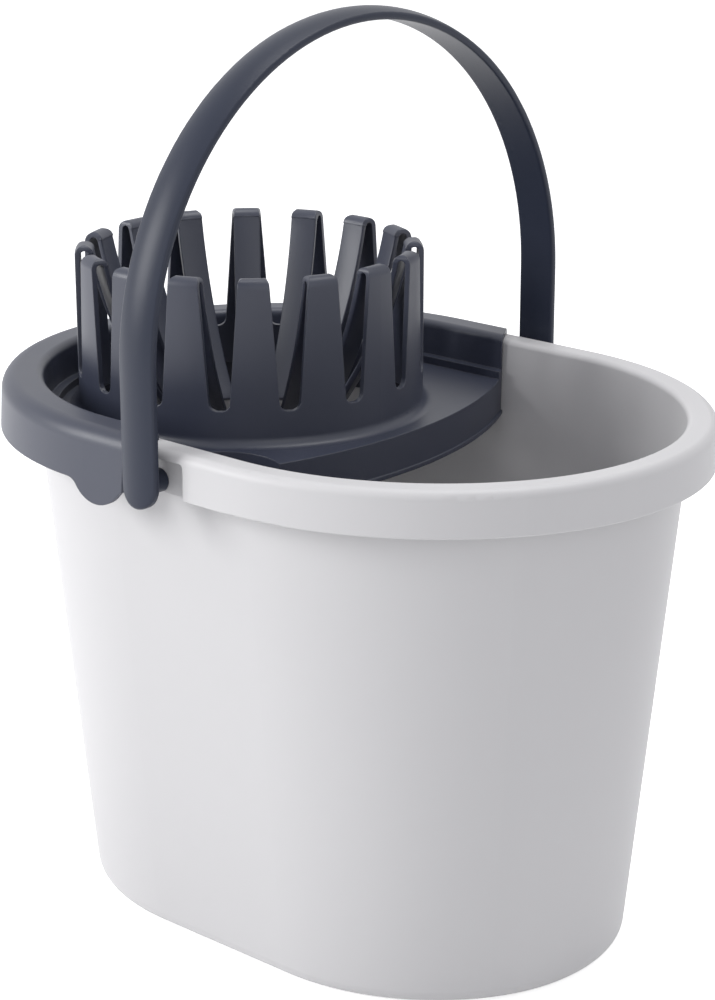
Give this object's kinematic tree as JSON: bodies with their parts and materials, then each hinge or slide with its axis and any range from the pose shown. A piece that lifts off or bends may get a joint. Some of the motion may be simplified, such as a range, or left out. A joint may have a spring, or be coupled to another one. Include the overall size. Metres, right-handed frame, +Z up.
{
  "type": "mop and bucket with wringer",
  "caption": "Oval floor-mop bucket with a swinging bail handle and a clip-on squeeze wringer whose folded fingers flex outwards as a mop head is pressed through.",
  "frame": {"origin": "centre of the base, on the floor", "axes": "+Z up, +X along the bucket towards its open end, with the wringer at the -X end"},
  "size_m": [0.3831, 0.301, 0.4564],
  "materials": {
    "bucket_plastic": "satin moulded polypropylene",
    "handle_plastic": "satin moulded polypropylene",
    "insert_plastic": "satin moulded polypropylene"
  },
  "bodies": {
    "bucket": {"bucket_body": "bucket_plastic"},
    "handle": {"bail_handle": "handle_plastic"},
    "wringer": {"wringer_insert": "insert_plastic"},
    "finger_01": {"squeeze_finger_01": "insert_plastic"},
    "finger_02": {"squeeze_finger_02": "insert_plastic"},
    "finger_03": {"squeeze_finger_03": "insert_plastic"},
    "finger_04": {"squeeze_finger_04": "insert_plastic"},
    "finger_05": {"squeeze_finger_05": "insert_plastic"},
    "finger_06": {"squeeze_finger_06": "insert_plastic"},
    "finger_07": {"squeeze_finger_07": "insert_plastic"},
    "finger_08": {"squeeze_finger_08": "insert_plastic"},
    "finger_09": {"squeeze_finger_09": "insert_plastic"},
    "finger_10": {"squeeze_finger_10": "insert_plastic"},
    "finger_11": {"squeeze_finger_11": "insert_plastic"},
    "finger_12": {"squeeze_finger_12": "insert_plastic"},
    "finger_13": {"squeeze_finger_13": "insert_plastic"},
    "finger_14": {"squeeze_finger_14": "insert_plastic"},
    "finger_15": {"squeeze_finger_15": "insert_plastic"},
    "finger_16": {"squeeze_finger_16": "insert_plastic"}
  },
  "joints": [
    {"name": "handle_swing", "type": "hinge", "parent": "bucket", "child": "handle", "pos_m": [0, 0, 0.254], "axis": [0, 1, 0], "range_deg": [-118, 118]},
    {"name": "insert_lift_off", "type": "slide", "parent": "bucket", "child": "wringer", "axis": [0, 0, 1], "range_m": [0, 0.06]},
    {"name": "finger_flex_01", "type": "hinge", "parent": "wringer", "child": "finger_01", "pos_m": [0.01045, 0, 0.32916], "axis": [0, -1, 0], "range_deg": [0, 12], "stiffness_Nm_per_rad": 0.8},
    {"name": "finger_flex_02", "type": "hinge", "parent": "wringer", "child": "finger_02", "pos_m": [0.00429, 0.03098, 0.32916], "axis": [0.3827, -0.9239, 0], "range_deg": [0, 12], "stiffness_Nm_per_rad": 0.8},
    {"name": "finger_flex_03", "type": "hinge", "parent": "wringer", "child": "finger_03", "pos_m": [-0.01326, 0.05724, 0.32916], "axis": [0.7071, -0.7071, 0], "range_deg": [0, 12], "stiffness_Nm_per_rad": 0.8},
    {"name": "finger_flex_04", "type": "hinge", "parent": "wringer", "child": "finger_04", "pos_m": [-0.03952, 0.07479, 0.32916], "axis": [0.9239, -0.3827, 0], "range_deg": [0, 12], "stiffness_Nm_per_rad": 0.8},
    {"name": "finger_flex_05", "type": "hinge", "parent": "wringer", "child": "finger_05", "pos_m": [-0.0705, 0.08095, 0.32916], "axis": [1, 0, 0], "range_deg": [0, 12], "stiffness_Nm_per_rad": 0.8},
    {"name": "finger_flex_06", "type": "hinge", "parent": "wringer", "child": "finger_06", "pos_m": [-0.10148, 0.07479, 0.32916], "axis": [0.9239, 0.3827, 0], "range_deg": [0, 12], "stiffness_Nm_per_rad": 0.8},
    {"name": "finger_flex_07", "type": "hinge", "parent": "wringer", "child": "finger_07", "pos_m": [-0.12774, 0.05724, 0.32916], "axis": [0.7071, 0.7071, 0], "range_deg": [0, 12], "stiffness_Nm_per_rad": 0.8},
    {"name": "finger_flex_08", "type": "hinge", "parent": "wringer", "child": "finger_08", "pos_m": [-0.14529, 0.03098, 0.32916], "axis": [0.3827, 0.9239, 0], "range_deg": [0, 12], "stiffness_Nm_per_rad": 0.8},
    {"name": "finger_flex_09", "type": "hinge", "parent": "wringer", "child": "finger_09", "pos_m": [-0.15145, 0, 0.32916], "axis": [0, 1, 0], "range_deg": [0, 12], "stiffness_Nm_per_rad": 0.8},
    {"name": "finger_flex_10", "type": "hinge", "parent": "wringer", "child": "finger_10", "pos_m": [-0.14529, -0.03098, 0.32916], "axis": [-0.3827, 0.9239, 0], "range_deg": [0, 12], "stiffness_Nm_per_rad": 0.8},
    {"name": "finger_flex_11", "type": "hinge", "parent": "wringer", "child": "finger_11", "pos_m": [-0.12774, -0.05724, 0.32916], "axis": [-0.7071, 0.7071, 0], "range_deg": [0, 12], "stiffness_Nm_per_rad": 0.8},
    {"name": "finger_flex_12", "type": "hinge", "parent": "wringer", "child": "finger_12", "pos_m": [-0.10148, -0.07479, 0.32916], "axis": [-0.9239, 0.3827, 0], "range_deg": [0, 12], "stiffness_Nm_per_rad": 0.8},
    {"name": "finger_flex_13", "type": "hinge", "parent": "wringer", "child": "finger_13", "pos_m": [-0.0705, -0.08095, 0.32916], "axis": [-1, 0, 0], "range_deg": [0, 12], "stiffness_Nm_per_rad": 0.8},
    {"name": "finger_flex_14", "type": "hinge", "parent": "wringer", "child": "finger_14", "pos_m": [-0.03952, -0.07479, 0.32916], "axis": [-0.9239, -0.3827, 0], "range_deg": [0, 12], "stiffness_Nm_per_rad": 0.8},
    {"name": "finger_flex_15", "type": "hinge", "parent": "wringer", "child": "finger_15", "pos_m": [-0.01326, -0.05724, 0.32916], "axis": [-0.7071, -0.7071, 0], "range_deg": [0, 12], "stiffness_Nm_per_rad": 0.8},
    {"name": "finger_flex_16", "type": "hinge", "parent": "wringer", "child": "finger_16", "pos_m": [0.00429, -0.03098, 0.32916], "axis": [-0.3827, -0.9239, 0], "range_deg": [0, 12], "stiffness_Nm_per_rad": 0.8}
  ],
  "couplings": [
    {"joint": "finger_flex_02", "follows": "finger_flex_01", "ratio": 1},
    {"joint": "finger_flex_03", "follows": "finger_flex_01", "ratio": 1},
    {"joint": "finger_flex_04", "follows": "finger_flex_01", "ratio": 1},
    {"joint": "finger_flex_05", "follows": "finger_flex_01", "ratio": 1},
    {"joint": "finger_flex_06", "follows": "finger_flex_01", "ratio": 1},
    {"joint": "finger_flex_07", "follows": "finger_flex_01", "ratio": 1},
    {"joint": "finger_flex_08", "follows": "finger_flex_01", "ratio": 1},
    {"joint": "finger_flex_09", "follows": "finger_flex_01", "ratio": 1},
    {"joint": "finger_flex_10", "follows": "finger_flex_01", "ratio": 1},
    {"joint": "finger_flex_11", "follows": "finger_flex_01", "ratio": 1},
    {"joint": "finger_flex_12", "follows": "finger_flex_01", "ratio": 1},
    {"joint": "finger_flex_13", "follows": "finger_flex_01", "ratio": 1},
    {"joint": "finger_flex_14", "follows": "finger_flex_01", "ratio": 1},
    {"joint": "finger_flex_15", "follows": "finger_flex_01", "ratio": 1},
    {"joint": "finger_flex_16", "follows": "finger_flex_01", "ratio": 1}
  ]
}
